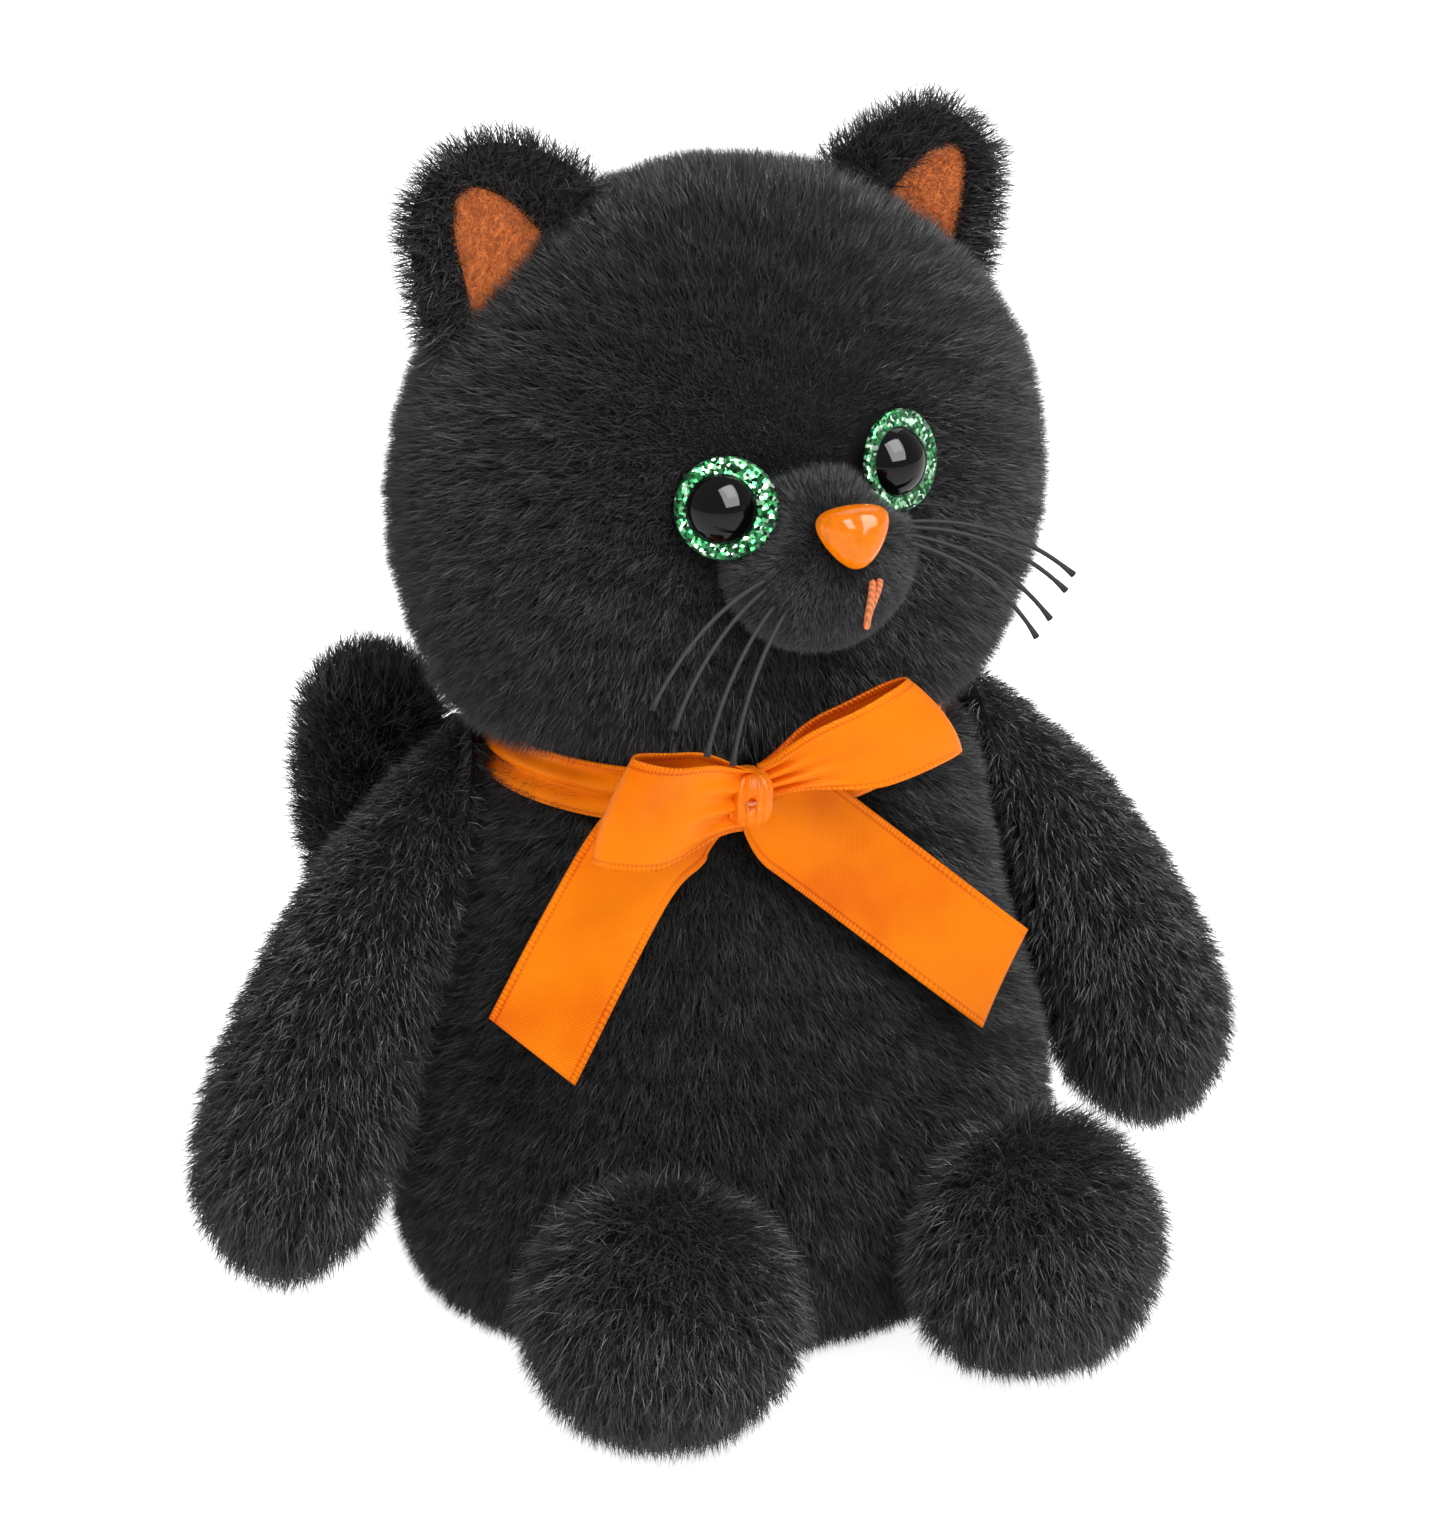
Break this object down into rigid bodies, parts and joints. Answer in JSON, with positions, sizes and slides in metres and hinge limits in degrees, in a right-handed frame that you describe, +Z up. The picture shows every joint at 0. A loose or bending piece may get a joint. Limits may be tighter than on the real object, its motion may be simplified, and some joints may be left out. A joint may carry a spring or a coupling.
{
  "type": "plush cat",
  "caption": "Sitting stuffed plush cat with a turning head, floppy ears, swinging arms, short legs, a bent tail and a satin ribbon bow at the neck.",
  "frame": {"origin": "middle of the flat seat, on the surface that the toy sits on", "axes": "+Z up, the face looks along -Y, +X is the toy's left"},
  "size_m": [0.1888, 0.1499, 0.207],
  "materials": {
    "black_plush": "dense standing pile",
    "black_short_plush": "short dense pile",
    "fibre_fill": "loose fibre",
    "bag_cloth": "plain weave",
    "plastic_pellets": "smooth",
    "orange_satin": "satin",
    "orange_thread": "twisted thread",
    "green_glitter": "glitter under clear plastic",
    "black_gloss": "polished",
    "white_plastic": "moulded",
    "orange_gloss": "polished",
    "black_thread": "waxed thread",
    "orange_fleece": "short pile"
  },
  "bodies": {
    "torso": {"body_front_panel": "black_plush", "body_back_panel": "black_plush", "seat_panel": "black_plush", "body_stuffing": "fibre_fill", "pellet_bag": "bag_cloth", "pellets": "plastic_pellets", "neck_band": "orange_satin", "bow_knot": "orange_satin", "bow_stitch": "orange_thread", "bow_loop_left": "orange_satin", "bow_loop_right": "orange_satin"},
    "ribbon_end_left": {"bow_end_left": "orange_satin"},
    "ribbon_end_right": {"bow_end_right": "orange_satin"},
    "neck": {"neck_plug": "fibre_fill"},
    "head": {"head_face_panel": "black_plush", "head_back_panel": "black_plush", "head_stuffing": "fibre_fill", "muzzle_skin": "black_short_plush", "muzzle_stuffing": "fibre_fill", "iris_left": "green_glitter", "iris_right": "green_glitter", "pupil_left": "black_gloss", "pupil_right": "black_gloss", "eye_washer_left": "white_plastic", "eye_washer_right": "white_plastic", "nose": "orange_gloss", "nose_washer": "white_plastic", "mouth_stitch": "orange_thread", "whiskers_left": "black_thread", "whiskers_right": "black_thread"},
    "left_ear": {"ear_left_fur": "black_plush", "ear_left_lining": "orange_fleece"},
    "right_ear": {"ear_right_fur": "black_plush", "ear_right_lining": "orange_fleece"},
    "left_arm": {"arm_left_skin": "black_plush", "arm_left_stuffing": "fibre_fill"},
    "right_arm": {"arm_right_skin": "black_plush", "arm_right_stuffing": "fibre_fill"},
    "left_leg": {"leg_left_skin": "black_plush", "leg_left_stuffing": "fibre_fill"},
    "right_leg": {"leg_right_skin": "black_plush", "leg_right_stuffing": "fibre_fill"},
    "tail": {"tail_skin": "black_plush", "tail_stuffing": "fibre_fill"}
  },
  "joints": [
    {"name": "neck_turn", "type": "hinge", "parent": "torso", "child": "neck", "pos_m": [0, 0, 0.1045], "axis": [0, 0, 1], "range_deg": [-15, 15], "stiffness_Nm_per_rad": 0.15},
    {"name": "neck_nod", "type": "hinge", "parent": "neck", "child": "head", "pos_m": [0, 0, 0.1045], "axis": [1, 0, 0], "range_deg": [-6, 6], "stiffness_Nm_per_rad": 0.4},
    {"name": "left_ear_flop", "type": "hinge", "parent": "head", "child": "left_ear", "pos_m": [0.03396, 0.00478, 0.18557], "axis": [0.8079, 0.0423, -0.5878], "range_deg": [-15, 15], "stiffness_Nm_per_rad": 0.02},
    {"name": "right_ear_flop", "type": "hinge", "parent": "head", "child": "right_ear", "pos_m": [-0.03427, 0.00121, 0.18557], "axis": [0.8079, 0.0423, 0.5878], "range_deg": [-15, 15], "stiffness_Nm_per_rad": 0.02},
    {"name": "left_arm_swing", "type": "hinge", "parent": "torso", "child": "left_arm", "pos_m": [0.04583, 0.003, 0.083], "axis": [-0.9681, 0, -0.2504], "range_deg": [-15, 45], "stiffness_Nm_per_rad": 0.06},
    {"name": "right_arm_swing", "type": "hinge", "parent": "torso", "child": "right_arm", "pos_m": [-0.04583, 0.003, 0.083], "axis": [-0.9681, 0, 0.2504], "range_deg": [-15, 45], "stiffness_Nm_per_rad": 0.06},
    {"name": "left_leg_lift", "type": "hinge", "parent": "torso", "child": "left_leg", "pos_m": [0.02519, -0.04139, 0.024], "axis": [-0.9246, -0.3811, 0], "range_deg": [0, 18], "stiffness_Nm_per_rad": 0.06},
    {"name": "right_leg_lift", "type": "hinge", "parent": "torso", "child": "right_leg", "pos_m": [-0.02519, -0.04139, 0.024], "axis": [-0.9246, 0.3811, 0], "range_deg": [0, 18], "stiffness_Nm_per_rad": 0.06},
    {"name": "tail_swing", "type": "hinge", "parent": "torso", "child": "tail", "pos_m": [-0.014, 0.0424, 0.024], "axis": [-0.1998, 0.9798, 0], "range_deg": [-15, 25], "stiffness_Nm_per_rad": 0.3},
    {"name": "left_ribbon_end_lift", "type": "hinge", "parent": "torso", "child": "ribbon_end_left", "pos_m": [-0.0088, -0.03534, 0.09525], "axis": [-1, 0, 0], "range_deg": [0, 40]},
    {"name": "right_ribbon_end_lift", "type": "hinge", "parent": "torso", "child": "ribbon_end_right", "pos_m": [-0.0132, -0.03534, 0.09525], "axis": [-1, 0, 0], "range_deg": [0, 40]}
  ]
}
